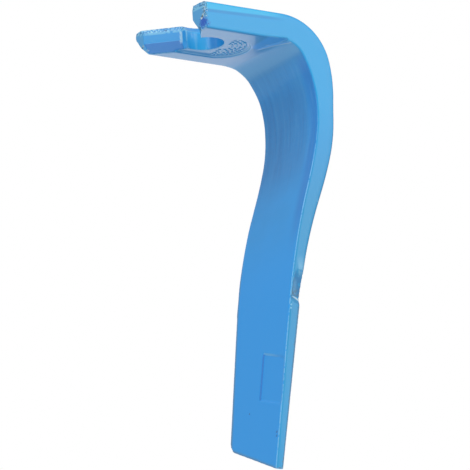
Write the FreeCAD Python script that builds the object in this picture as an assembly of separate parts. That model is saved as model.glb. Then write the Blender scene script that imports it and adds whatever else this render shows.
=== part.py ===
import FreeCAD, Part
import math
import os
from FreeCAD import Vector

# Forged blade tine: a thick clamping flange, bent down into a blade that thins and narrows to its tip.
# Frame: origin on the bolt axis in the plane of the flange's top seat, Z up, millimetres.
# The blade hangs along -Z, its hollow inner face looks along -Y and its long straight edge is at +X.

# Bar, measured across its width
nearFace = 31.0            # bolt axis to the square edge of the bar, at the inner face
frontFlat = 60.0           # width of the flat inner face
partingSwell = 0.5         # how far the square edge leans out up to its parting line
partingShare = 0.70        # place of the parting line in the bar's thickness
topLean = 0.5              # how far the square edge leans in again beyond it
landShare = 0.28           # share of the thickness left upright at the bevelled edge
bevelLean = 42.0           # degrees, bevel of that edge off the inner face's normal
bellyShare = 0.065         # how far the bevel bulges beyond a flat, as a share of the thickness
bellyPlace = 0.4           # place of the bulge down the bevel
nearTaper = 0.9            # degrees, narrowing of the square edge along the blade
farTaper = 2.85             # degrees, narrowing of the bevelled edge along the blade
taperDrop = 146.0          # drop below the flange's underside where the narrowing starts
heelSwell = 2.4            # widening of the bevelled edge at the heel
heelSwellDrop = 55.0       # drop where that widening starts
heelSwellHeight = 65.0

# Bar, thickness along its length
flangeThick = 18.3
bendThick = 13.3
bladeThick = 8.4
tipThick = 5.7
bendThinStart = 31.0       # length from the start of the path to the start of the thinning
bendThinLength = 34.0
neckThinStart = 72.0
neckThinLength = 112.0
shoulderSwell = 1.1        # thickening of the shoulder, at its outer face
swellStart = 8.0           # length where it starts
swellEnd = 43.0

# Side profile of the inner face at the square edge: length or radius and turn, in order from the flange
pathStart = 32.0           # bolt axis to the start of the profile
flatRun = 8.0              # still flat at the square edge
shoulderRadius = 17.0
shoulderTurn = 63.0
throatRadius = 71.0
throatTurn = 27.5
backRadius = 113.0
backTurn = 14.2
heelRadius = 349.0
heelTurn = 4.6
sweepRadius = 452.0
sweepTurn = 9.8
tipDrop = 285.5            # drop of the long corner of the tip below the flange's underside
tipSlant = 23.4            # degrees, rise of the cut end towards the bevelled edge
cornerStart = 54.0         # from the long corner across to where the cut turns up
cornerRise = 60.0          # degrees, rise of the cut from there
cornerRound = 9.0

# Softer shoulder at the bevelled edge: extra metal inside the bend
webHeight = 2.3
webPeak = 19.0             # length along the path to its highest point
webEnd = 44.0

# Rounding along the bar
frontRound = 1.2
topRound = 1.4
landRoundShare = 0.15      # rounding of the bevelled edge, as a share of the thickness
bellyRoundShare = 0.9

# Free end of the flange
endReach = 19.4            # bolt axis to the end, at the square edge
endSlant = 5.2             # degrees, the end runs further out towards the bevelled edge

# Bolt seat
boreRadius = 12.5
sinkRadius = 17.5          # countersink in the top seat
sinkDepth = 5.0

# Mouth of the bolt slot above its parting line, open at the free end
mouthParting = 9.5         # parting line below the top seat
lipX = 10.6                # near lip, on the bore's wall
ledgeX = 16.3              # outer end of the short ledge beside the far lip
ledgeY = 6.5               # how far the ledge stands in front of the bolt axis
farMouthAngle = 42.0       # degrees off the flange's length
nearMouthAngle = 28.0
mouthBevelRise = 3.0       # bevel round the top of the mouth
mouthBevelReach = 1.2

# Mouth of the bolt slot at the underside
lowerFarX = 13.8
lowerFarY = 7.0
lowerFarAngle = 40.0
lowerNearX = 8.3
lowerNearY = 9.3
lowerNearAngle = 60.0

# Recess in the underside round the slot
recessRadius = 18.0
recessCentre = 14.0        # bolt axis to the centre of its round end
recessDepth = 1.5
recessDraft = 20.0         # degrees

# Relief scooped out of the underside where the bend starts at the square edge
reliefStart = 19.0         # bolt axis to its start, along the square edge
reliefEnd = 44.0           # bolt axis to its end, along the square edge
reliefApexX = 6.7
reliefApexY = 35.2
reliefDepth = 1.1

# Hollow in the square edge of the neck, deepest near its lower end
hollowDrop = 153.0         # drop of its upper end below the flange's underside
hollowLength = 18.0        # down to the deepest point
hollowRunout = 5.0         # from there to its lower end
hollowDepth = 2.1
hollowLean = 1.4           # how much deeper it is at the outer face than at the inner face
hollowLip = 1.5            # thickness left whole beside the inner face

# Shallow pocket in the inner face of the blade
pocketDrop = 203.0         # drop of its upper end below the flange's underside
pocketHeight = 32.0
pocketWidth = 25.0
pocketSlant = 18.0         # degrees, fall of its ends towards the square edge
pocketMargin = 2.0         # from the square edge's line at the flange to the pocket
pocketDepth = 0.7

stationPitch = 9.0         # distance between sections along the path
stationLeast = 5           # fewest steps between sections in one run
through = 1.0              # how far a cutter reaches past the face that it breaks through


def rad(degrees):
    return math.radians(degrees)


def ease(share):
    # smooth step from 0 to 1
    share = min(max(share, 0.0), 1.0)
    return share * share * (3.0 - 2.0 * share)


def runs():
    # length and turn in radians of each run of the side profile before the straight blade
    arcs = [
        (shoulderRadius, shoulderTurn),
        (throatRadius, throatTurn),
        (backRadius, backTurn),
        (heelRadius, heelTurn),
        (sweepRadius, -sweepTurn),
    ]
    return [(flatRun, 0.0)] + [(radius * rad(abs(turn)), rad(turn)) for radius, turn in arcs]


def thicknessAt(length, whole):
    bend = ease((length - bendThinStart) / bendThinLength)
    neck = ease((length - neckThinStart) / neckThinLength)
    neckEnd = neckThinStart + neckThinLength
    tip = max(length - neckEnd, 0.0) / (whole - neckEnd)
    half = (swellEnd - swellStart) / 2.0
    swell = shoulderSwell * ease((length - swellStart) / half) * ease((swellEnd - length) / half)
    return (flangeThick + (bendThick - flangeThick) * bend + (bladeThick - bendThick) * neck
            + (tipThick - bladeThick) * tip + swell)


def webAt(length):
    return webHeight * ease(length / webPeak) * ease((webEnd - length) / (webEnd - webPeak))


def frontPath():
    # stations down the inner face, one list for each run and one for the straight blade:
    # y, z, heading below the flange's plane, length from the start
    y, z, heading, length = pathStart, -flangeThick, 0.0, 0.0
    spans = []
    for run, turn in runs():
        span = [(y, z, heading, length)]
        count = max(int(stationLeast), math.ceil(run / stationPitch))
        step = run / count
        part = turn / count
        chord = step * math.sin(part / 2.0) / (part / 2.0) if part else step
        for index in range(count):
            y += chord * math.cos(heading + part / 2.0)
            z -= chord * math.sin(heading + part / 2.0)
            heading += part
            length += step
            span.append((y, z, heading, length))
        spans.append(span)
    run = (z + flangeThick + tipDrop + bladeThick) / math.sin(heading)
    end = (y + run * math.cos(heading), z - run * math.sin(heading), heading, length + run)
    spans.append([(y, z, heading, length), end])
    return spans


def roundedWire(corners, place):
    # closed outline of straight lines and tangent arcs; place turns (x, n) into a point
    edges = []
    ends = []
    count = len(corners)
    for index, (x, n, radius) in enumerate(corners):
        before = corners[index - 1]
        after = corners[(index + 1) % count]
        here = Vector(x, n, 0)
        back = (Vector(before[0], before[1], 0) - here).normalize()
        ahead = (Vector(after[0], after[1], 0) - here).normalize()
        half = back.getAngle(ahead) / 2.0
        reach = radius / math.tan(half)
        middle = here + (back + ahead).normalize() * (radius / math.sin(half) - radius)
        ends.append((here + back * reach, middle, here + ahead * reach, radius))
    for index, (start, middle, end, radius) in enumerate(ends):
        if radius > 0:
            edges.append(Part.Arc(place(start), place(middle), place(end)).toShape())
        follow = ends[(index + 1) % count][0]
        edges.append(Part.LineSegment(place(end), place(follow)).toShape())
    return Part.Wire(edges)


def barSection(y, z, heading, thick, web):
    # outline across the bar at one station of the inner face
    drop = -flangeThick - z
    taper = max(drop - taperDrop, 0.0)
    near = nearFace - taper * math.tan(rad(nearTaper))
    swell = heelSwell * ease((drop - heelSwellDrop) / heelSwellHeight)
    far = nearFace - frontFlat - swell + taper * math.tan(rad(farTaper))
    bevel = thick * (1.0 - landShare)
    slope = bevel * math.tan(rad(bevelLean))
    land = far - slope
    belly = thick * bellyShare
    bellyX = land + slope * bellyPlace - belly * math.cos(rad(bevelLean))
    bellyN = bevel * (1.0 - bellyPlace) - belly * math.sin(rad(bevelLean))
    landRound = thick * landRoundShare
    corners = [
        (near, 0.0, frontRound),
        (near + partingSwell, thick * partingShare, 0.0),
        (near + partingSwell - topLean, thick, topRound),
        (land, thick, landRound),
        (land, bevel, landRound),
        (bellyX, bellyN, thick * bellyRoundShare),
        (far, -web, frontRound),
    ]

    def place(point):
        out = point.y
        return Vector(point.x, y + out * math.sin(heading), z + out * math.cos(heading))

    return roundedWire(corners, place)


def flangeBar():
    outline = barSection(pathStart, -flangeThick, 0.0, flangeThick, 0.0)
    reach = pathStart + endReach + 2.0 * frontFlat * math.tan(rad(endSlant))
    return Part.Face(outline).extrude(Vector(0, -reach, 0))


def bladeBar():
    # one loft for each run of the path, and a straight one for the blade
    spans = frontPath()
    whole = spans[-1][-1][3]
    pieces = []
    for span in spans:
        sections = []
        for y, z, heading, length in span:
            sections.append(barSection(y, z, heading, thicknessAt(length, whole), webAt(length)))
        pieces.append(Part.makeLoft(sections, True, len(span) == 2))
    return pieces


def stationAt(drop):
    # point of the inner face at a drop below the flange's underside, with its heading
    stations = [station for span in frontPath() for station in span]
    level = -flangeThick - drop
    for above, below in zip(stations[:-1], stations[1:]):
        if above[1] >= level >= below[1] and above[1] > below[1]:
            share = (above[1] - level) / (above[1] - below[1])
            y, z, heading = [a + (b - a) * share for a, b in zip(above[:3], below[:3])]
            return Vector(0, y, z), heading


def laidOn(shape, drop):
    # moves a shape drawn with its depth along Y and its height along Z onto the inner face
    point, heading = stationAt(drop)
    shape.rotate(Vector(0, 0, 0), Vector(1, 0, 0), 90.0 - math.degrees(heading))
    shape.translate(point)
    return shape


def squareEnd():
    # what lies beyond the slanted free end of the flange
    size = 4.0 * frontFlat
    block = Part.makeBox(size, size, size, Vector(-size / 2.0, -size, -size / 2.0))
    block.rotate(Vector(0, 0, 0), Vector(0, 0, 1), endSlant)
    block.translate(Vector(nearFace, -endReach, 0))
    return block


def slantedTip():
    # what lies below the slanted cut of the blade's end, which turns up at the bevelled edge
    size = 2.0 * frontFlat
    slant = math.tan(rad(tipSlant))
    rise = cornerStart * slant
    beyond = cornerStart + size * math.cos(rad(cornerRise))
    top = rise + size * math.sin(rad(cornerRise))
    corners = [
        (size, -size * slant, 0.0),
        (-cornerStart, rise, cornerRound),
        (-beyond, top, 0.0),
        (-2.0 * size, top, 0.0),
        (-2.0 * size, -size, 0.0),
        (size, -size, 0.0),
    ]

    def place(point):
        return Vector(nearFace + point.x, -size, point.y - flangeThick - tipDrop)

    return Part.Face(roundedWire(corners, place)).extrude(Vector(0, 2.0 * size, 0))


def boreCut():
    # straight bolt seat and its countersink
    bore = Part.makeCylinder(boreRadius, flangeThick + 2.0 * through, Vector(0, 0, -flangeThick - through))
    slope = (sinkRadius - boreRadius) / sinkDepth
    sink = Part.makeCone(boreRadius, sinkRadius + slope * through, sinkDepth + through, Vector(0, 0, -sinkDepth))
    return bore.fuse(sink)


def flare(start, angle, side, run):
    # end of a mouth wall that leaves its start at an angle off the flange's length
    return start + Vector(side * math.sin(rad(angle)), -math.cos(rad(angle)), 0) * run


def mouthAt(share):
    # corners of the mouth in plan: share 0 at the parting line and above, 1 at the underside
    run = 3.0 * endReach
    lipY = math.sqrt(boreRadius ** 2 - lipX ** 2)
    lip = Vector(lipX, -lipY, 0)
    ledge = Vector(-ledgeX, -ledgeY, 0)
    farLow = Vector(-lowerFarX, -lowerFarY, 0)
    nearLow = Vector(lowerNearX, -lowerNearY, 0)
    inward = boreRadius / 3.0
    upper = [
        Vector(0, 0, 0),
        Vector(-ledgeX + 2.0 * inward, -ledgeY, 0),
        ledge,
        flare(ledge, farMouthAngle, -1, run),
        flare(lip, nearMouthAngle, 1, run),
        flare(lip, nearMouthAngle, 1, -inward),
    ]
    lower = [
        Vector(0, 0, 0),
        flare(farLow, lowerFarAngle, -1, -inward),
        farLow,
        flare(farLow, lowerFarAngle, -1, run),
        flare(nearLow, lowerNearAngle, 1, run),
        flare(nearLow, lowerNearAngle, 1, -inward),
    ]
    return [a + (b - a) * share for a, b in zip(upper, lower)]


def closed(points, z):
    moved = [point + Vector(0, 0, z) for point in points]
    return Part.makePolygon(moved + moved[:1])


def mouthCut():
    # upright above the parting line with a bevelled rim, skewed below it
    depth = flangeThick - mouthParting
    below = 1.0 + through / depth
    skewed = Part.makeLoft([closed(mouthAt(0.0), -mouthParting), closed(mouthAt(below), -flangeThick - through)],
                           True, True)
    outline = closed(mouthAt(0.0), -mouthParting)
    upright = Part.Face(outline).extrude(Vector(0, 0, mouthParting - mouthBevelRise))
    rim = closed(mouthAt(0.0), -mouthBevelRise)
    rise = mouthBevelRise + through
    wide = Part.Face(rim).makeOffset2D(mouthBevelReach * rise / mouthBevelRise, 2).OuterWire
    wide.translate(Vector(0, 0, rise))
    bevel = Part.makeLoft([rim, wide], True, True)
    return skewed.fuse([upright, bevel])


def recessCut():
    # round-ended pocket in the underside, with leaning walls
    def outline(spread, z):
        half = recessRadius + spread
        out = -3.0 * endReach
        start = Vector(half, recessCentre, z)
        end = Vector(-half, recessCentre, z)
        arc = Part.Arc(start, Vector(0, recessCentre + half, z), end).toShape()
        sides = [end, Vector(-half, out, z), Vector(half, out, z), start]
        lines = [Part.LineSegment(a, b).toShape() for a, b in zip(sides[:-1], sides[1:])]
        return Part.Wire([arc] + lines)

    lean = math.tan(rad(recessDraft))
    floor = outline(-recessDepth * lean, -flangeThick + recessDepth)
    below = outline(recessDepth * lean, -flangeThick - recessDepth)
    return Part.makeLoft([floor, below], True, True)


def reliefCut():
    # a thin wedge that starts on one line of the underside and ends in a low step
    start = Vector(nearFace, reliefStart, -flangeThick)
    apex = Vector(reliefApexX, reliefApexY, -flangeThick)
    end = Vector(nearFace, reliefEnd, -flangeThick)
    beyond = 2.0 * through / (nearFace - reliefApexX)
    outerStart = start + (start - apex) * beyond
    outerEnd = end + (end - apex) * beyond
    outline = Part.makePolygon([apex, outerStart, outerEnd, apex])
    wedge = Part.Face(outline).extrude(Vector(0, 0, -flangeThick))
    hinge = (start - apex).normalize()
    arm = end - apex
    reach = (arm - hinge * arm.dot(hinge)).Length
    wedge.rotate(apex, hinge, math.degrees(math.atan(reliefDepth / reach)))
    return wedge


def hollowCut():
    # a long scoop into the square edge, drawn in the plane of the face and pushed through the bar
    edge = nearFace - (hollowDrop - taperDrop) * math.tan(rad(nearTaper)) + partingSwell
    outer = edge + 2.0 * hollowDepth
    top = Vector(edge, hollowLip, 0)
    middle = Vector(edge - 0.6 * hollowDepth, hollowLip, -0.5 * hollowLength)
    deepest = Vector(edge - hollowDepth, hollowLip, -hollowLength)
    bottom = Vector(edge, hollowLip, -hollowLength - hollowRunout)
    edges = [
        Part.Arc(top, middle, deepest).toShape(),
        Part.LineSegment(deepest, bottom).toShape(),
        Part.LineSegment(bottom, Vector(outer, hollowLip, bottom.z)).toShape(),
        Part.LineSegment(Vector(outer, hollowLip, bottom.z), Vector(outer, hollowLip, 0)).toShape(),
        Part.LineSegment(Vector(outer, hollowLip, 0), top).toShape(),
    ]
    block = Part.Face(Part.Wire(edges)).extrude(Vector(-hollowLean, bladeThick, 0) * 2.0)
    return laidOn(block, hollowDrop)


def pocketCut():
    # slanted pocket with walls at 45 degrees
    fall = pocketWidth * math.tan(rad(pocketSlant))

    def outline(spread, depth):
        right = nearFace - pocketMargin + spread
        left = nearFace - pocketMargin - pocketWidth - spread
        top = spread
        bottom = -pocketHeight - spread
        corners = [Vector(left, depth, top), Vector(right, depth, top - fall)]
        corners += [Vector(right, depth, bottom - fall), Vector(left, depth, bottom)]
        return Part.makePolygon(corners + corners[:1])

    block = Part.makeLoft([outline(-pocketDepth, pocketDepth), outline(pocketDepth, -pocketDepth)], True, True)
    return laidOn(block, pocketDrop)


def tine():
    body = flangeBar().fuse(bladeBar())
    body = body.cut(squareEnd()).cut(slantedTip())
    body = body.cut(boreCut()).cut(mouthCut()).cut(recessCut()).cut(reliefCut())
    body = body.cut(hollowCut()).cut(pocketCut())
    return body.removeSplitter()


def main():
    os.makedirs("parts", exist_ok=True)
    shape = tine()
    print("solids", len(shape.Solids), "valid", shape.isValid(), "volume cm3", round(shape.Volume / 1000.0, 1))
    shape.Solids[0].exportStep("parts/tine.step")


main()
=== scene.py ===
import math

import bpy
from mathutils import Matrix, Vector


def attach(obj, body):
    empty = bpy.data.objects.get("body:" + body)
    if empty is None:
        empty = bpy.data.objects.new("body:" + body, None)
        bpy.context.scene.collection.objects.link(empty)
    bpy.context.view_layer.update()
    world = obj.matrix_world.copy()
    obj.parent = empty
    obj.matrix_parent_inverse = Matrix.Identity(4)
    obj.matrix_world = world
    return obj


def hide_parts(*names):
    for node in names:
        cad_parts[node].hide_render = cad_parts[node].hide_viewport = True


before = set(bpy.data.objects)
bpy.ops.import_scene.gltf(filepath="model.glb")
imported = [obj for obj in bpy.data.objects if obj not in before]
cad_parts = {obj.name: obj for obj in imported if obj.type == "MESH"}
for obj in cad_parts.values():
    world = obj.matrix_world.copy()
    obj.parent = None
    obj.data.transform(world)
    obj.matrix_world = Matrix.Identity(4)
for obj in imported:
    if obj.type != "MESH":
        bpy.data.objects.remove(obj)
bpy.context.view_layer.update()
bpy.context.scene.view_settings.view_transform = "Standard"
print("frame loaded")


def hexToLinear(code):
    # sRGB hex to the linear colour that a socket takes
    values = [int(code[i:i + 2], 16) / 255.0 for i in (1, 3, 5)]
    linear = [v / 12.92 if v <= 0.04045 else ((v + 0.055) / 1.055) ** 2.4 for v in values]
    return (*linear, 1.0)


def addNode(tree, kind, settings=None, links=None):
    # one node, its settings by attribute or socket name, and what feeds its sockets
    node = tree.nodes.new(kind)
    for name, value in (settings or {}).items():
        if isinstance(name, str) and hasattr(node, name):
            setattr(node, name, value)
        else:
            node.inputs[name].default_value = value
    for name, source in (links or {}).items():
        tree.links.new(source, node.inputs[name])
    return node


cameraSettings = {
    "azimuth": 55.29,          # degrees, from the front towards the square edge
    "elevation": -16.12,       # the photograph looks up at the tine
    "roll": -3.77,
    "distance": 2.56668,
    "focalPixels": 4000.4,     # a long lens: focal length and picture side in pixels
    "imageSize": 470.0,
    "sensorWidth": 36.0,       # mm
    "farthest": 50.0,
    "aim": (0.000859, 0.03873, -0.1183),
    "across": -0.01962,        # how far beside and above the aim point the middle of the picture lies
    "upwards": -0.02189,
}


def cameraAxes(azimuth, elevation, roll):
    a = math.radians(azimuth)
    e = math.radians(elevation)
    r = math.radians(roll)
    back = Vector((math.sin(a) * math.cos(e), -math.cos(a) * math.cos(e), math.sin(e)))
    level = Vector((math.cos(a), math.sin(a), 0.0))
    upright = back.cross(level)
    right = level * math.cos(r) + upright * math.sin(r)
    up = upright * math.cos(r) - level * math.sin(r)
    return right, up, back


def addCamera(settings):
    right, up, back = cameraAxes(settings["azimuth"], settings["elevation"], settings["roll"])
    target = Vector(settings["aim"]) + right * settings["across"] + up * settings["upwards"]
    place = target + back * settings["distance"]
    cameraData = bpy.data.cameras.new("camera")
    cameraData.sensor_width = settings["sensorWidth"]
    cameraData.lens = settings["focalPixels"] / settings["imageSize"] * settings["sensorWidth"]
    cameraData.clip_end = settings["farthest"]
    camera = bpy.data.objects.new("camera", cameraData)
    bpy.context.scene.collection.objects.link(camera)
    camera.matrix_world = Matrix((
        (right.x, up.x, back.x, place.x),
        (right.y, up.y, back.y, place.y),
        (right.z, up.z, back.z, place.z),
        (0.0, 0.0, 0.0, 1.0),
    ))
    bpy.context.scene.camera = camera
    print("camera placed")


studioSettings = {
    "floorHeight": -1.15,      # the tine hangs by its flange, well above the floor
    "floorSize": 12.0,
    "floorColour": "#F2F2F0",
    "floorRoughness": 0.9,
    "floorGlow": 0.5,          # how much of the floor the camera sees as plain white
    "glowStrength": 1.0,
    "skyColour": "#FFFFFF",
    "skyStrength": 0.5,
    "backgroundStrength": 1.0,
    # place, size, watts
    "lamps": {
        "sideBox": ((1.42, 0.99, 0.5), 1.2, 6.6),
        "topBox": ((0.9, -0.9, 1.7), 1.4, 14.0),
        "frontBox": ((-0.5, -2.0, 0.2), 1.2, 2.2),
        "edgeBox": ((1.04, -1.52, 0.56), 0.6, 2.2),
        "backBox": ((-1.6, 1.2, -0.7), 1.6, 3.6),
    },
    "lampAim": (0.0, 0.03, -0.13),
}


def paleFloorMaterial(settings):
    # matt white paper sweep: soft and even, and plain white where the gloss of the enamel mirrors it
    material = bpy.data.materials.new("mattPaper")
    material.use_nodes = True
    tree = material.node_tree
    paper = tree.nodes["Principled BSDF"]
    paper.inputs["Base Color"].default_value = hexToLinear(settings["floorColour"])
    paper.inputs["Roughness"].default_value = settings["floorRoughness"]
    rays = addNode(tree, "ShaderNodeLightPath")
    mirrored = addNode(tree, "ShaderNodeMath", {"operation": "MAXIMUM"},
                       {0: rays.outputs["Is Glossy Ray"], 1: rays.outputs["Is Transmission Ray"]})
    pale = addNode(tree, "ShaderNodeMath",
                   {"operation": "MULTIPLY_ADD", 1: settings["floorGlow"], "use_clamp": True},
                   {0: rays.outputs["Is Camera Ray"], 2: mirrored.outputs[0]})
    glow = addNode(tree, "ShaderNodeEmission", {"Strength": settings["glowStrength"]})
    mix = addNode(tree, "ShaderNodeMixShader", None,
                  {0: pale.outputs[0], 1: paper.outputs[0], 2: glow.outputs[0]})
    tree.links.new(mix.outputs[0], tree.nodes["Material Output"].inputs["Surface"])
    return material


def addSky(settings):
    # soft light from all round, and plain white where the camera looks past the tine
    world = bpy.data.worlds.new("studio")
    bpy.context.scene.world = world
    world.use_nodes = True
    tree = world.node_tree
    tree.nodes.clear()
    rays = addNode(tree, "ShaderNodeLightPath")
    seen = addNode(tree, "ShaderNodeMath", {"operation": "MAXIMUM"},
                   {0: rays.outputs["Is Camera Ray"], 1: rays.outputs["Is Transmission Ray"]})
    colour = hexToLinear(settings["skyColour"])
    soft = addNode(tree, "ShaderNodeBackground", {"Color": colour, "Strength": settings["skyStrength"]})
    white = addNode(tree, "ShaderNodeBackground", {"Color": colour, "Strength": settings["backgroundStrength"]})
    mix = addNode(tree, "ShaderNodeMixShader", None,
                  {0: seen.outputs[0], 1: soft.outputs[0], 2: white.outputs[0]})
    addNode(tree, "ShaderNodeOutputWorld", None, {"Surface": mix.outputs[0]})
    print("sky set")


def addFloor(settings):
    bpy.ops.object.select_all(action="DESELECT")
    bpy.ops.mesh.primitive_plane_add(size=settings["floorSize"], location=(0.0, 0.0, settings["floorHeight"]))
    floor = bpy.context.object
    floor.name = "floor"
    floor.data.materials.append(paleFloorMaterial(settings))
    print("floor laid")


def addLamps(settings):
    for name, (place, size, watts) in settings["lamps"].items():
        lampData = bpy.data.lights.new(name, "AREA")
        lampData.shape = "DISK"
        lampData.size = size
        lampData.energy = watts
        lamp = bpy.data.objects.new(name, lampData)
        bpy.context.scene.collection.objects.link(lamp)
        lamp.location = place
        lamp.visible_camera = False
        aim = Vector(settings["lampAim"]) - Vector(place)
        lamp.rotation_euler = aim.to_track_quat("-Z", "Y").to_euler()
    print("lamps hung", len(settings["lamps"]))


# the tine: a closer mesh of the CAD part, with the uneven skin and the small marks of a forging; its sizes
# and places are in metres

tineSettings = {
    "mergeDistance": 1e-6,     # the CAD mesh is loose triangles
    "voxel": 0.0006,
    "edgeWear": 0.5,
    "edgeWearRounds": 1,
    "dentSize": 0.016,
    "dentDepth": 0.00008,
    "triangles": 188000,       # with the dashes the whole tine stays under 200,000
    # trimmed flash line on the flange's square edge: it rises a little along the flange
    "partingHeight": -0.0059,
    "partingSlope": 0.035,
    "partingReach": 0.0020,
    "partingDepth": 0.00015,
    "partingFade": (0.022, 0.044),
    "squareEdge": 0.0309,      # what lies past this is on that edge
}

dashSettings = {
    "recessFloor": -0.0168,    # height of the floor of the recess under the flange
    "centre": 0.014,           # how far back the recess's round end is centred
    "length": 0.0021,
    "width": 0.0008,
    "height": 0.00045,
    "rounding": 0.0002,
    "roundingSegments": 2,
    "rows": ((0.0150, 17), (0.0121, 13), (0.0092, 9), (0.0063, 6)),    # radius and count
    "outwardsEvery": 3,
}


def copyNode(name, newName, settings):
    bpy.ops.object.select_all(action="DESELECT")
    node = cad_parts[name]
    bpy.context.view_layer.objects.active = node
    node.select_set(True)
    bpy.ops.object.duplicate()
    piece = bpy.context.object
    piece.name = newName
    bpy.ops.object.mode_set(mode="EDIT")
    bpy.ops.mesh.select_all(action="SELECT")
    bpy.ops.mesh.remove_doubles(threshold=settings["mergeDistance"])
    bpy.ops.object.mode_set(mode="OBJECT")
    return piece


def fade(value, start, end):
    share = min(max((value - start) / (end - start), 0.0), 1.0)
    return share * share * (3.0 - 2.0 * share)


def pressPartingLine(piece, settings):
    # a shallow line where the flash was trimmed, strongest at the flange's free end
    start, end = settings["partingFade"]
    for vertex in piece.data.vertices:
        place = vertex.co
        if place.x < settings["squareEdge"] or place.y > end:
            continue
        away = abs(place.z - settings["partingSlope"] * place.y - settings["partingHeight"])
        near = 1.0 - fade(away, 0.0, settings["partingReach"])
        place.x -= settings["partingDepth"] * near * (1.0 - fade(place.y, start, end))


def addDashes(settings):
    # plain raised dashes in rows round the end of the recess, half of each sunk in its floor
    bpy.ops.object.select_all(action="DESELECT")
    bpy.ops.mesh.primitive_cube_add(size=1.0)
    dash = bpy.context.object
    dash.scale = (settings["length"], settings["width"], settings["height"] * 2.0)
    bpy.ops.object.transform_apply(location=False, rotation=False, scale=True)
    bpy.ops.object.mode_set(mode="EDIT")
    bpy.ops.mesh.select_all(action="SELECT")
    bpy.ops.mesh.bevel(offset=settings["rounding"], segments=settings["roundingSegments"])
    bpy.ops.object.mode_set(mode="OBJECT")
    dashes = []
    for row, (radius, count) in enumerate(settings["rows"]):
        for index in range(count):
            angle = math.pi * (index + 0.5) / count
            outwards = (index + row) % settings["outwardsEvery"] == 0
            copy = dash.copy()
            copy.data = dash.data.copy()
            bpy.context.scene.collection.objects.link(copy)
            copy.location = (radius * math.cos(angle), settings["centre"] + radius * math.sin(angle),
                             settings["recessFloor"])
            copy.rotation_euler = (0.0, 0.0, angle if outwards else angle + math.pi / 2.0)
            dashes.append(copy)
    bpy.data.objects.remove(dash)
    return dashes


def forgeTine(settings, dashes):
    tine = copyNode("tine", "forgedTine", settings)
    remesh = tine.modifiers.new("evenMesh", "REMESH")
    remesh.mode = "VOXEL"
    remesh.voxel_size = settings["voxel"]
    bpy.ops.object.modifier_apply(modifier=remesh.name)

    smooth = tine.modifiers.new("wornEdges", "SMOOTH")
    smooth.factor = settings["edgeWear"]
    smooth.iterations = settings["edgeWearRounds"]
    bpy.ops.object.modifier_apply(modifier=smooth.name)

    clouds = bpy.data.textures.new("hammerDents", "CLOUDS")
    clouds.noise_scale = settings["dentSize"]
    dents = tine.modifiers.new("forgingDents", "DISPLACE")
    dents.texture = clouds
    dents.texture_coords = "LOCAL"
    dents.mid_level = 1.0      # only inwards, so the tine keeps within its size
    dents.strength = settings["dentDepth"]
    bpy.ops.object.modifier_apply(modifier=dents.name)
    pressPartingLine(tine, settings)

    fewer = tine.modifiers.new("fewerFaces", "DECIMATE")
    fewer.ratio = settings["triangles"] / (2.0 * len(tine.data.polygons))      # the remesh gives quads
    bpy.ops.object.modifier_apply(modifier=fewer.name)

    raised = addDashes(dashes)
    bpy.ops.object.select_all(action="DESELECT")
    for dash in raised:
        dash.select_set(True)
    tine.select_set(True)
    bpy.context.view_layer.objects.active = tine
    bpy.ops.object.join()
    bpy.ops.object.shade_smooth()
    print("tine forged", len(tine.data.polygons), "faces")
    return tine


# enamel: soft limits that several of its areas share, each with what is read, where there is none of the
# area, and where there is most of it; x, y and z are places, nx, ny and nz say where the surface faces

squareSide = (("nx", 0.75, 0.92),)
prongSide = (*squareSide, ("y", 0.046, 0.028))
neckHeight = (("z", -0.020, -0.034), ("z", -0.120, -0.080))
neckFace = (("ny", -0.4, -0.8), *neckHeight)
seatWall = (("x", -0.0145, -0.0132), ("y", -0.009, -0.006), ("y", 0.012, 0.009), ("z", -0.0175, -0.0165))
mouthWall = (("ny", -0.35, -0.5), ("nx", 0.45, 0.6))
hollowFloor = (("nz", -0.02, -0.09), ("nx", 0.85, 0.93))
bladeFace = (("ny", -0.60, -0.80),)
pocketEdge = (("ny", -0.5, -0.7),)
sawnCorner = (("x", 0.0275, 0.0295), ("y", -0.0172, -0.0182), ("z", -0.0120, -0.0100))
prongRim = (("z", -0.0034, -0.0024), ("y", -0.003, -0.006), ("nz", 0.93, 0.80), ("x", 0.0312, 0.0285))

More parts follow.
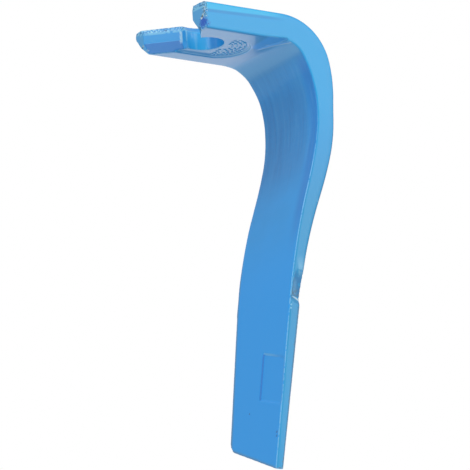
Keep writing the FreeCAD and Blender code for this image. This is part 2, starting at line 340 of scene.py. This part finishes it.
enamelSettings = {
    "blue": "#10A2F3",
    "ior": 1.5,
    "paintRoughness": 0.42,    # the pigment under the gloss
    "coatRoughness": 0.16,
    "coatWeight": 0.45,
    # each pattern's size along x, y and z in mm, and its detail; specks and flakes are really 0.2 to 0.5 mm,
    # but a pixel of the render is about 0.65 mm, so they are drawn as coarse as they need to show
    "patterns": {
        "patches": ((22.0, 22.0, 22.0), 2.0),      # film a little thicker here and there
        "wearAndSheen": ((2.6, 2.6, 2.6), 2.0),            # breaks up the rubbed edges and the painted highlights
        "specks": ((1.2, 1.2, 1.2), 2.0),
        "flakes": ((0.9, 0.9, 0.9), 3.0),
        "peel": ((1.6, 1.6, 1.6), 2.0),
        "streaks": ((2.4, 40.0, 24.0), 3.0),       # drawn out along the bend by the die
        "glintStreaks": ((1.5, 1.5, 24.0), 1.0),        # upright in the round seat, where it breaks up a painted highlight
    },
    "peelHeight": 0.00001,
    "peelStrength": 0.6,
    "speckHeight": 0.0004,
    "streakHeight": 0.0002,
    "chipDepth": 0.00015,
    # slanted readings: how much of one side is added to another
    "slants": {
        "zParting": ("y", -0.035, "z"),
        "zRidge": ("y", 0.55, "z"),
        "yRelief": ("x", -0.42, "y"),
        "xFar": ("z", 0.0574, "x"),
        "zCut": ("x", 0.4386, "z"),
    },
    # paint, how much of it, and its soft limits, in the order in which the areas are laid on; one without
    # paint only tells the skin where it lies
    "areas": {
        # the large faces, with painted light and shade on the square side
        "patch": ("#0F9CEB", 0.5, (("patches", 0.35, 0.65),)),
        "blade": ("#07A4FD", 1.0, (("z", -0.120, -0.180),)),
        # painted light: the square side in paler tones, by height, standing in for light from the side
        "side": ("#12B0F4", 1.0, (*squareSide, ("z", -0.140, -0.050))),
        "stripLight": ("#1EA3E0", 1.0, (*squareSide, ("z", -0.050, -0.140))),
        "lowStripLight": ("#20A9EA", 1.0, (*squareSide, ("z", -0.190, -0.260))),
        # painted shade: a dark line where the square side turns away at its outer edge
        "outerEdgeShade": ("#3A7FB4", 0.7, (
            ("nx", 0.25, 0.50), ("nx", 0.98, 0.88), ("ny", 0.10, 0.35), ("z", -0.030, -0.060),
            ("x", 0.020, 0.022))),
        # painted light: the prong sides paler above the flash line, as on an upper facet that catches the light
        "partingBandLight": ("#26C6FF", 1.0, (*prongSide, ("zParting", -0.0060, -0.0048))),
        # painted shade: a darker line along the trimmed flash line
        "partingShade": ("#0D9AE4", 0.9, (
            *prongSide, ("zParting", -0.0076, -0.0064), ("zParting", -0.0042, -0.0056))),
        # inside the bend, mostly painted shade, with painted light on the web
        # painted shade: darker on the downward faces inside the bend
        "underShade": ("#2E98D8", 1.0, (("nz", -0.1, -0.9), ("z", -0.120, -0.060))),
        # painted light: paler on the web under the flange
        "webLight": ("#5CB2EC", 0.95, (("nz", -0.50, -0.72), ("ny", -0.02, -0.25), ("z", -0.0290, -0.0225))),
        # painted shade: deeper, greyer blue on the concave middle of the neck's front
        "throatShade": ("#2295E1", 1.0, (
            ("x", 0.0250, 0.0170), ("ny", -0.50, -0.80), ("z", -0.030, -0.048), ("z", -0.120, -0.090))),
        # painted shade: a deep blue band along the square edge inside the bend
        "bendShade": ("#0089E2", 0.8, (
            ("x", 0.0190, 0.0265), ("ny", -0.50, -0.80), ("z", -0.022, -0.035), ("z", -0.165, -0.125))),
        "neck": (None, 1.0, neckHeight),
        "darkStreak": ("#0B6FC2", 0.20, (*neckFace, ("streaks", 0.50, 0.68))),
        "paleStreak": ("#5FC0F7", 0.12, (*neckFace, ("streaks", 0.46, 0.30))),
        # the slot: its round seat, its mouth and the sawn ends of the prongs, with painted light and shade on
        # the seat's walls and in the mouth
        # painted highlight: pale upright streaks on the wall of the round seat
        "seatHighlightStreaks": ("#A5E2FF", 0.6, (
            *seatWall, ("x", -0.0065, -0.0080), ("z", -0.003, -0.006), ("nx", 0.40, 0.70),
            ("glintStreaks", 0.52, 0.66))),
        # painted shade: darker on the end wall of the round seat
        "seatEndShade": ("#0C8EDE", 1.0, (
            ("ny", -0.60, -0.85), ("y", 0.0060, 0.0090), ("y", 0.0138, 0.0131), ("x", -0.0125, -0.0110),
            ("x", 0.0125, 0.0110), ("z", -0.0175, -0.0165))),
        "mouthTop": ("#06A2EE", 0.9, (*mouthWall, ("x", -0.0165, -0.0180), ("z", -0.0165, -0.0155))),
        # painted shade: deeper blue on the lower facet of the far mouth wall, which also has no gloss
        "mouth": ("#007BCC", 1.0, (*mouthWall, ("y", -0.004, -0.006), ("z", -0.0095, -0.0105))),
        # painted light: paler on the side wall of the round seat
        "seatSideLight": ("#3CC0FF", 0.7, (*seatWall, ("x", -0.004, -0.006), ("nx", 0.50, 0.85))),
        "ends": ("#50AAE8", 1.0, (("ny", -0.80, -0.93), ("y", -0.0175, -0.0185))),
        # the hollow in the neck's square edge, and the ridge that ends it
        "hollowTop": ("#9CDCFC", 0.40, (
            *squareSide, ("y", 0.0383, 0.0403), ("z", -0.161, -0.170), ("z", -0.180, -0.173))),
        "hollow": ("#2C84C6", 0.80, (*hollowFloor, ("z", -0.1705, -0.1780), ("wearAndSheen", 0.32, 0.52))),
        "hollowPale": ("#74B6E2", 0.6, (*hollowFloor, ("y", 0.0392, 0.0362), ("z", -0.1760, -0.1810))),
        "hollowEnd": ("#5F7E92", 0.6, (*hollowFloor, ("z", -0.182, -0.188), ("specks", 0.40, 0.55))),
        # painted highlight: a pale line along the ridge that ends the hollow
        "ridgeHighlight": ("#C4E6FA", 0.9, (
            ("nz", 0.02, 0.15), ("nx", 0.70, 0.85), ("zRidge", -0.1716, -0.1708),
            ("zRidge", -0.1688, -0.1698), ("z", -0.184, -0.187))),
        # painted shade in the creases, and painted light on the relief under the shoulder
        # painted shade: deeper blue wherever the surface folds inwards
        "creaseShade": ("#0B6FC2", 1.0, (("point", 0.485, 0.440),)),
        # painted light: the tilted relief facet paler
        "reliefLight": ("#3FA8F4", 0.95, (
            ("x", 0.006, 0.010), ("y", 0.027, 0.031), ("yRelief", 0.0336, 0.0326), ("nz", -0.65, -0.80))),
        # painted highlight: a pale line along the relief's lower edge
        "reliefEdgeHighlight": ("#A4D2F6", 0.7, (
            ("x", 0.005, 0.010), ("y", 0.031, 0.034), ("nz", -0.55, -0.75), ("yRelief", 0.0322, 0.0330),
            ("yRelief", 0.0344, 0.0334))),
        # the recess round the slot, with painted light on its wall and on the tops of the dashes
        # painted light: the recess wall paler
        "recessWallLight": ("#9AD6FA", 0.9, (
            ("nz", -0.80, -0.60), ("nz", -0.10, -0.20), ("z", -0.0179, -0.0174), ("z", -0.0163, -0.0167),
            ("x", 0.0245, 0.0235), ("x", -0.0245, -0.0235), ("y", -0.008, -0.004), ("y", 0.036, 0.034))),
        # painted light: the tops of the dashes paler
        "dashTopLight": ("#A2DAF8", 0.9, (
            ("nz", -0.70, -0.90), ("z", -0.0169, -0.0171), ("z", -0.0180, -0.0177), ("x", 0.018, 0.017),
            ("x", -0.018, -0.017))),
        # edges: rubbed pale and painted highlight, or painted shade where they turn away
        # pale on sharp edges: partly rubbed paint, partly painted highlight
        "rubbedEdgeHighlight": ("#7CCBF5", 0.9, (("point", 0.52, 0.57), ("wearAndSheen", 0.30, 0.55))),
        # painted highlight: a pale line along the blade's square edge
        "bladeEdgeHighlight": ("#76C9FF", 0.85, (
            ("nx", 0.25, 0.50), ("nx", 0.95, 0.75), ("ny", -0.25, -0.45), ("z", -0.050, -0.120),
            ("wearAndSheen", 0.25, 0.50))),
        # painted shade: dark lines along the blade's far edge and its cut end
        "farEdgeShade": ("#4A90C4", 0.9, (*bladeFace, ("xFar", -0.0383, -0.0410), ("z", -0.120, -0.160))),
        "cutEdgeShade": ("#4A90C4", 0.9, (*bladeFace, ("zCut", -0.2878, -0.2902), ("z", -0.260, -0.270))),
        # the pocket in the lower blade: painted shade on its left wall, a painted highlight on its top wall
        # painted shade: darker on the pocket's left wall
        "pocketLeftShade": ("#0078DC", 0.8, (
            *pocketEdge, ("nx", 0.14, 0.34), ("x", 0.0085, 0.0070), ("x", -0.004, -0.002),
            ("z", -0.216, -0.219), ("z", -0.257, -0.253))),
        # painted highlight: paler on the pocket's top wall
        "pocketTopHighlight": ("#6CC6FF", 0.6, (
            *pocketEdge, ("nz", 0.04, -0.12), ("z", -0.214, -0.217), ("z", -0.234, -0.231),
            ("x", 0.002, 0.004), ("x", 0.027, 0.012))),
        # corners and rims of the prongs, with painted highlights on the far mouth corner and along the rims
        # painted highlight along the far mouth corner, broken up by the wear pattern
        "mouthCorner": ("#B6E4FA", 0.75, (
            ("x", -0.0175, -0.0169), ("x", -0.0151, -0.0159), ("y", -0.0082, -0.0074),
            ("y", -0.0055, -0.0062), ("z", -0.0140, -0.0115), ("wearAndSheen", 0.34, 0.50))),
        "cornerDark": ("#35597A", 0.9, (*sawnCorner, ("flakes", 0.46, 0.41))),
        "cornerPale": ("#B4D6E6", 0.9, (*sawnCorner, ("flakes", 0.54, 0.60))),
        # painted highlight: a pale line under the rims of the prongs
        "rimHighlightLine": ("#86D6FA", 0.7, (
            ("z", -0.0046, -0.0038), ("z", -0.0022, -0.0030), ("y", -0.003, -0.006), ("nz", 0.80, 0.60),
            ("x", 0.0312, 0.0285), ("x", -0.0375, -0.0350), ("wearAndSheen", 0.30, 0.48))),
        "rimDark": ("#357DB8", 0.9, (*prongRim, ("specks", 0.47, 0.40))),
        # painted highlight: pale glints among the rim specks
        "rimGlints": ("#9ADCF8", 1.0, (*prongRim, ("specks", 0.53, 0.60))),
    },
    # place of each spot, its reach, and what shows there: first runs, pits and rubbed paint, then two painted
    # highlights
    "spots": (
        ((0.0284, -0.0197, -0.0140), 0.0042, "#0A62D0"),
        ((0.0236, -0.0199, -0.0172), 0.0022, "#2B6F9E"),
        ((0.0285, -0.0197, -0.0092), 0.0014, "#A9CCDD"),
        ((0.0270, -0.0198, -0.0108), 0.0010, "#C9DDE6"),
        ((-0.0340, -0.0256, -0.0112), 0.0012, "#8FB7CE"),
        ((-0.0292, -0.0250, -0.0150), 0.0013, "#8FB7CE"),
        ((-0.0063, 0.0202, -0.2589), 0.0006, "#1467C0"),
        ((0.0268, 0.0165, -0.2810), 0.0011, "#1A7CD4"),
        ((0.0268, 0.0170, -0.2785), 0.0011, "#1A7CD4"),
        # two painted highlights on the square edge below the hollow
        ((0.0310, 0.0320, -0.1955), 0.0010, "#8AD4FA"),
        ((0.0310, 0.0316, -0.1980), 0.0010, "#8AD4FA"),
    ),
    # then chips down to the steel
    "chips": (
        ((0.0312, -0.0190, -0.0010), 0.0006, "#43434A"),
        ((0.0311, -0.0190, -0.0046), 0.0005, "#5B4A40"),
        ((0.0302, -0.0195, -0.0070), 0.0006, "#43434A"),
        ((0.0277, -0.0197, -0.0098), 0.0008, "#4A4E50"),
        ((-0.0344, -0.0256, -0.0120), 0.0007, "#43434A"),
        ((-0.0289, -0.0250, -0.0160), 0.0008, "#5B4A40"),
    ),
    "ragged": 2.4,             # how far the flakes push the outline of a spot, in reaches
    "spotCore": 0.6,           # the share of its reach that a spot fills
    "flakesMiddle": 0.5,       # the value that the flakes vary about
}


def layArea(tree, readings, colour, paint, share, limits):
    # paint laid where all the soft limits let it: each is the most that the next can reach
    mask = None
    for reading, nothing, most in limits:
        links = {"Value": readings[reading]}
        if mask:
            links["To Max"] = mask
        limit = addNode(tree, "ShaderNodeMapRange", {"interpolation_type": "SMOOTHSTEP", "From Min": nothing,
                                                     "From Max": most, "To Max": share}, links)
        mask = limit.outputs["Result"]
    if not paint:
        return mask, colour
    laid = addNode(tree, "ShaderNodeMix", {"data_type": "RGBA", 7: hexToLinear(paint)}, {0: mask, 6: colour})
    return mask, laid.outputs[2]


def laySpot(tree, readings, colour, settings, centre, reach, paint):
    # a ragged spot round a place on the surface
    ragged = settings["ragged"] * reach
    middle = settings["flakesMiddle"] * ragged
    far = addNode(tree, "ShaderNodeVectorMath", {"operation": "DISTANCE", 1: centre}, {0: readings["place"]})
    pushed = addNode(tree, "ShaderNodeMath", {"operation": "MULTIPLY_ADD", 1: ragged},
                     {0: readings["flakes"], 2: far.outputs["Value"]})
    spot = addNode(tree, "ShaderNodeMapRange",
                   {"From Min": middle + reach, "From Max": middle + settings["spotCore"] * reach},
                   {"Value": pushed.outputs[0]})
    mask = spot.outputs["Result"]
    laid = addNode(tree, "ShaderNodeMix", {"data_type": "RGBA", 7: hexToLinear(paint)}, {0: mask, 6: colour})
    return mask, laid.outputs[2]


def readSurface(tree, settings):
    # what the paint goes by: place, facing, how sharp the surface is, and the patterns
    place = addNode(tree, "ShaderNodeTexCoord").outputs["Object"]
    surface = addNode(tree, "ShaderNodeNewGeometry")
    position = addNode(tree, "ShaderNodeSeparateXYZ", None, {"Vector": place})
    facing = addNode(tree, "ShaderNodeSeparateXYZ", None, {"Vector": surface.outputs["Normal"]})
    readings = {"place": place, "point": surface.outputs["Pointiness"]}
    for axis in "XYZ":
        readings[axis.lower()] = position.outputs[axis]
        readings["n" + axis.lower()] = facing.outputs[axis]
    for name, (added, share, side) in settings["slants"].items():
        slanted = addNode(tree, "ShaderNodeMath", {"operation": "MULTIPLY_ADD", 1: share},
                          {0: readings[added], 2: readings[side]})
        readings[name] = slanted.outputs[0]
    for name, (size, detail) in settings["patterns"].items():
        stretched = addNode(tree, "ShaderNodeMapping", {"Scale": [1000.0 / side for side in size]},
                            {"Vector": place})
        pattern = addNode(tree, "ShaderNodeTexNoise", {"Scale": 1.0, "Detail": detail},
                          {"Vector": stretched.outputs["Vector"]})
        readings[name] = pattern.outputs["Fac"]
    return readings


def layFilm(tree, readings, settings):
    # the whole film, laid on in order over plain blue, and where its areas and chips lie
    plain = addNode(tree, "ShaderNodeMix", {"data_type": "RGBA", 0: 0.0, 6: hexToLinear(settings["blue"])})
    colour = plain.outputs[2]
    masks = {}
    for name, (paint, share, limits) in settings["areas"].items():
        masks[name], colour = layArea(tree, readings, colour, paint, share, limits)
    for centre, reach, paint in settings["spots"]:
        colour = laySpot(tree, readings, colour, settings, centre, reach, paint)[1]
    chipped = None
    for centre, reach, paint in settings["chips"]:
        chip, colour = laySpot(tree, readings, colour, settings, centre, reach, paint)
        if chipped:
            chip = addNode(tree, "ShaderNodeMath", {"operation": "MAXIMUM"}, {0: chipped, 1: chip}).outputs[0]
        chipped = chip
    return colour, masks, chipped


def roughenSkin(tree, readings, masks, chipped, settings):
    # forging streaks on the neck, specks on the rims, orange peel all over, and the chips
    streakBump = addNode(tree, "ShaderNodeBump", {"Distance": settings["streakHeight"]},
                         {"Height": readings["streaks"], "Strength": masks["neck"]})
    rim = addNode(tree, "ShaderNodeMath", {"operation": "MAXIMUM"}, {0: masks["rimDark"], 1: masks["rimGlints"]})
    speckBump = addNode(tree, "ShaderNodeBump", {"Distance": settings["speckHeight"]},
                        {"Height": readings["specks"], "Strength": rim.outputs[0],
                         "Normal": streakBump.outputs["Normal"]})
    peelBump = addNode(tree, "ShaderNodeBump",
                       {"Strength": settings["peelStrength"], "Distance": settings["peelHeight"]},
                       {"Height": readings["peel"], "Normal": speckBump.outputs["Normal"]})
    chipBump = addNode(tree, "ShaderNodeBump", {"Distance": settings["chipDepth"], "invert": True},
                       {"Height": chipped, "Normal": peelBump.outputs["Normal"]})
    return chipBump.outputs["Normal"]


def enamelMaterial(settings):
    # sprayed and stoved enamel on drop-forged steel: clean sky blue with a wet gloss over a slightly uneven
    # skin, paler on sharp edges (rubbed paint and painted highlight), painted shade in the creases, painted
    # light and shade on many faces, darker and dull deep in the mouth of the slot as painted shade, speckled on
    # the sawn ends and chipped to dark steel at their corners
    material = bpy.data.materials.new("skyBlueEnamel")
    material.use_nodes = True
    tree = material.node_tree
    shader = tree.nodes["Principled BSDF"]
    readings = readSurface(tree, settings)
    colour, masks, chipped = layFilm(tree, readings, settings)
    tree.links.new(colour, shader.inputs["Base Color"])
    skin = roughenSkin(tree, readings, masks, chipped, settings)
    for socket in ("Normal", "Coat Normal"):
        tree.links.new(skin, shader.inputs[socket])

    # gloss: none on bare steel or deep in the mouth of the slot
    shader.inputs["IOR"].default_value = settings["ior"]
    shader.inputs["Roughness"].default_value = settings["paintRoughness"]
    shader.inputs["Coat Roughness"].default_value = settings["coatRoughness"]
    dull = addNode(tree, "ShaderNodeMath", {"operation": "MAXIMUM"}, {0: chipped, 1: masks["mouth"]})
    coat = addNode(tree, "ShaderNodeMapRange", {"To Min": settings["coatWeight"], "To Max": 0.0},
                   {"Value": dull.outputs[0]})
    tree.links.new(coat.outputs["Result"], shader.inputs["Coat Weight"])
    print("enamel mixed", len(tree.nodes), "nodes")
    return material


addSky(studioSettings)
addFloor(studioSettings)
addLamps(studioSettings)
tine = forgeTine(tineSettings, dashSettings)
tine.data.materials.clear()
tine.data.materials.append(enamelMaterial(enamelSettings))
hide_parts("tine")
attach(tine, "root")
addCamera(cameraSettings)
